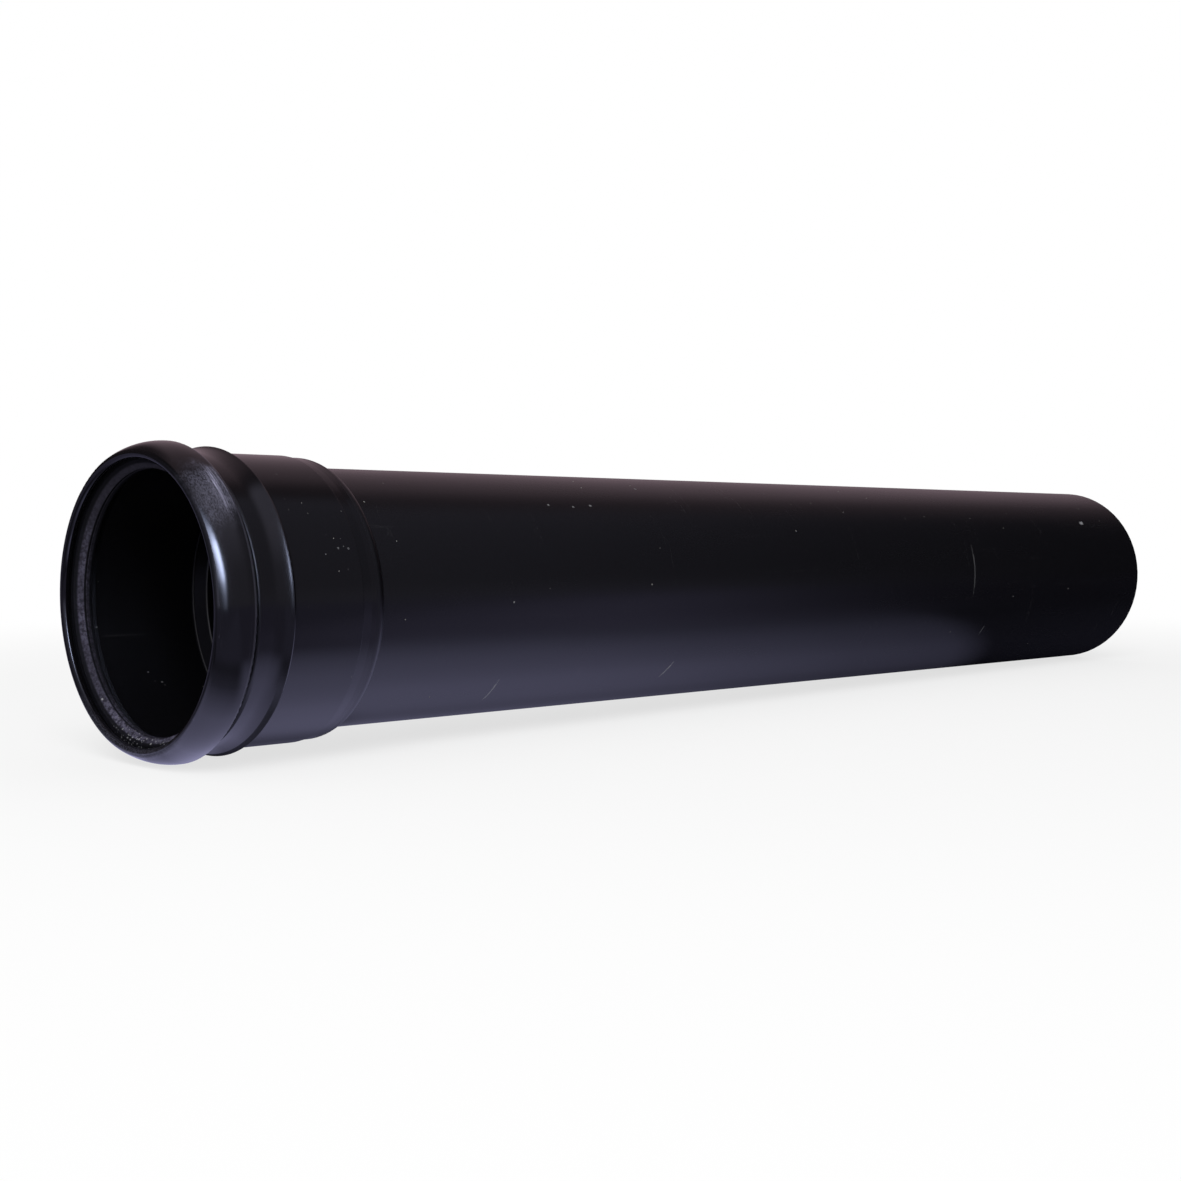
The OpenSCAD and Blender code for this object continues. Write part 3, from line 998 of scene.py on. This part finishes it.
def makeFloor():
    size = studio["floorSize"] / 2
    corners = [(-size, -size, 0), (size, -size, 0), (size, size, 0), (-size, size, 0)]
    mesh = newMesh("floor", corners, [(0, 1, 2, 3)])
    floor = addObject("floor", mesh)
    material, tree = newMaterial("paleFloor")[:2]
    tree.nodes.clear()
    out = addNode(tree, "ShaderNodeOutputMaterial")
    rays = addNode(tree, "ShaderNodeLightPath").outputs
    at = addNode(tree, "ShaderNodeTexCoord").outputs["Object"]
    parts = addNode(tree, "ShaderNodeSeparateXYZ", {0: at}).outputs
    distance = addNode(tree, "ShaderNodeVectorMath", {0: at}, operation="LENGTH").outputs["Value"]
    plain = addNode(tree, "ShaderNodeBsdfDiffuse", {"Color": studio["floorColour"]}).outputs[0]
    white = shine(tree, "Emission", (1, 1, 1, 1))
    # the camera sees the floor melt into the white background; its shadow stays
    fade = ramp(tree, distance, *studio["floorFade"])
    fade = times(tree, fade, rays["Is Camera Ray"])
    seen = mixShaders(tree, fade, plain, white)
    # gloss sees the lit sheet, drawn as a glow with a painted shadow of the pipe along its middle,
    # which ends in front and to the right as a table top does
    along = curveOf(tree, parts[0], studio["sheetAlong"])
    beside = calc(tree, "ABSOLUTE", parts[1])
    # the low middle of this curve is a painted shadow of the pipe
    across = curveOf(tree, beside, studio["sheetAcross"])
    lifted = ramp(tree, beside, *studio["liftedAcross"])
    lifted = times(tree, ramp(tree, parts[0], *studio["liftedFrom"]), lifted)
    across = plus(tree, across, lifted)
    atMouth = ramp(tree, parts[0], *studio["mouthStart"], 1.0, 0.0)
    underMouth = curveOf(tree, times(tree, parts[1], -1.0), studio["mouthAcross"])
    across = blendColour(tree, atMouth, across, underMouth)
    lit = times(tree, times(tree, along, across), studio["sheetGlow"])
    sheet = shine(tree, "Emission", studio["sheetTint"], lit)
    slant = larger(tree, minus(tree, beside, studio["pastLeanFrom"]), 0.0)
    slant = times(tree, slant, studio["pastLean"])
    pastGlow = curveOf(tree, minus(tree, parts[0], slant), studio["pastAlong"])
    pastGlow = times(tree, pastGlow, ramp(tree, beside, *studio["pastStart"]))
    past = shine(tree, "Emission", studio["pastSheet"], pastGlow)
    gloss = addNode(tree, "ShaderNodeAddShader", {0: sheet, 1: past}).outputs[0]
    tree.links.new(mixShaders(tree, rays["Is Glossy Ray"], seen, gloss), out.inputs["Surface"])
    mesh.materials.append(material)


def tinted(tree, colour, strength):
    node = addNode(tree, "ShaderNodeVectorMath", {0: colour}, operation="SCALE")
    tree.links.new(strength, node.inputs["Scale"])
    return node.outputs[0]


def makeWorld():
    world = bpy.data.worlds.new("studioRoom")
    bpy.context.scene.world = world
    world.use_nodes = True
    tree = world.node_tree
    tree.nodes.clear()
    out = addNode(tree, "ShaderNodeOutputWorld")
    rays = addNode(tree, "ShaderNodeLightPath").outputs
    way = addNode(tree, "ShaderNodeTexCoord").outputs["Generated"]
    parts = addNode(tree, "ShaderNodeSeparateXYZ", {0: way}).outputs
    plain = (1, 1, 1, 1)
    # the room as gloss sees it: dim in front and to the right, brighter high on the left, warm behind
    high = ramp(tree, parts[2], *studio["roomHigh"])
    high = blendColour(tree, ramp(tree, parts[0], *studio["roomHighEnd"]), high, plain)
    low = curveOf(tree, parts[0], studio["roomLow"])
    low = blendColour(tree, ramp(tree, parts[2], *studio["roomLowTop"]), low, plain)
    front = times(tree, times(tree, curveOf(tree, parts[0], studio["roomRight"]), high), low)
    farther = ramp(tree, parts[0], *studio["behindFarther"])
    turned = ramp(tree, minus(tree, parts[0], parts[1]), *studio["behindTurned"])
    behind = times(tree, curveOf(tree, parts[1], studio["roomBehind"]), times(tree, farther, turned))
    front = tinted(tree, studio["roomTint"], front)
    behind = tinted(tree, studio["behindColour"], behind)
    room = blendColour(tree, ramp(tree, parts[1], *studio["behindStart"]), front, behind)
    side = tinted(tree, studio["mouthTint"], curveOf(tree, parts[1], studio["mouthSide"]))
    atMouth = ramp(tree, parts[0], *studio["mouthSideEnd"], 1.0, 0.0)
    room = blendColour(tree, atMouth, room, side)
    light = shine(tree, "Background", plain, studio["worldLight"])
    white = shine(tree, "Background", plain)
    gloss = shine(tree, "Background", room)
    shiny = larger(tree, rays["Is Glossy Ray"], rays["Is Transmission Ray"])
    lit = mixShaders(tree, shiny, light, gloss)
    tree.links.new(mixShaders(tree, rays["Is Camera Ray"], lit, white), out.inputs["Surface"])
    world.cycles.sampling_method = "NONE"  # else its diffuse light leaks into the gloss


def makeLamp(name, position, aim, size, power):
    lamp = bpy.data.lights.new(name, "AREA")
    lamp.shape = "RECTANGLE"
    lamp.size, lamp.size_y = size
    lamp.energy = power
    thing = addObject(name, lamp)
    thing.location = position
    toward = (Vector(aim) - Vector(position)).normalized()
    thing.rotation_euler = toward.to_track_quat("-Z", "Y").to_euler()
    thing.visible_glossy = False  # the gloss sees the strip instead


strip = {
    "distance": 2.2,
    "lean": -0.37,  # its direction's share along the pipe, towards the mouth
    "halfWidth": (0.098, 0.052),  # in the same share, at its bottom and its top
    "colour": (0.62, 0.70, 1.0, 1),
    "glow": [  # degrees up, brightness
        (-12, 0.0), (-2, 1.2), (8, 3.5), (15, 9.0), (20, 26.0), (26, 34.0), (34, 40.0), (42, 40.0),
        (50, 17.0), (60, 6.0), (72, 3.0), (82, 0.0),
    ],
    "edgeFade": 1.5,
    "aimAlong": 0.01,  # it is bent round this place on the axis, from the mouth
    "stepsUp": 60,
    "stepsAcross": 10,
}


def glowAt(height):
    stops = strip["glow"]
    for (low, start), (high, end) in zip(stops, stops[1:]):
        if low <= height <= high:
            return start + (end - start) * (height - low) / (high - low)
    return 0.0


def makeStrip(aim):
    # a tall window, bent round the pipe; its glow fades to its edges
    low, high = strip["glow"][0][0], strip["glow"][-1][0]
    up, across = strip["stepsUp"], strip["stepsAcross"]
    points, glows, faces = [], [], []
    for i in range(up + 1):
        height = low + (high - low) * i / up
        half = strip["halfWidth"][0] + (strip["halfWidth"][1] - strip["halfWidth"][0]) * i / up
        for k in range(across + 1):
            off = 2 * k / across - 1
            side = strip["lean"] + half * off
            rest = math.sqrt(1 - side * side)
            turn = math.radians(height)
            way = Vector((side, -rest * math.cos(turn), rest * math.sin(turn)))
            points.append(tuple(aim + way * strip["distance"]))
            glows.append(glowAt(height) * (1 - off * off) ** strip["edgeFade"])
    row = across + 1
    for i in range(up):
        for k in range(across):
            corner = i * row + k
            faces.append((corner, corner + row, corner + row + 1, corner + 1))
    mesh = newMesh("windowStrip", points, faces)
    attribute = mesh.attributes.new("glow", "FLOAT", "POINT")
    attribute.data.foreach_set("value", glows)
    thing = addObject("windowStrip", mesh)
    material, tree = newMaterial("windowLight")[:2]
    tree.nodes.clear()
    glow = addNode(tree, "ShaderNodeAttribute", attribute_name="glow").outputs["Fac"]
    light = shine(tree, "Emission", strip["colour"], glow)
    addNode(tree, "ShaderNodeOutputMaterial", {"Surface": light})
    mesh.materials.append(material)
    thing.visible_camera = thing.visible_diffuse = thing.visible_shadow = False
    thing.visible_transmission = thing.visible_volume_scatter = False


makeFloor()
makeWorld()
makeStrip(mouthPoint + axisDir * strip["aimAlong"])
makeLamp("softLamp", studio["lampPlace"], studio["lampAim"], studio["lampSize"], studio["lampPower"])
print("stage: floor, world and lamps")

view = {
    "place": (-0.68365, -0.58760, 0.10187),
    "heading": 45.271,
    "pitch": -5.829,
    "lens": 51.175,
    "sensor": 36.0,
    "shiftUp": 0.0736,
    "clip": (0.02, 60.0),
}
cameraData = bpy.data.cameras.new("camera")
cameraData.lens = view["lens"]
cameraData.sensor_width = view["sensor"]
cameraData.shift_y = view["shiftUp"]
cameraData.clip_start, cameraData.clip_end = view["clip"]
camera = addObject("camera", cameraData)
camera.location = view["place"]
camera.rotation_euler = (math.radians(90 + view["pitch"]), 0, math.radians(view["heading"] - 90))
bpy.context.scene.camera = camera
bpy.context.scene.view_settings.view_transform = "Standard"
print("stage: camera")
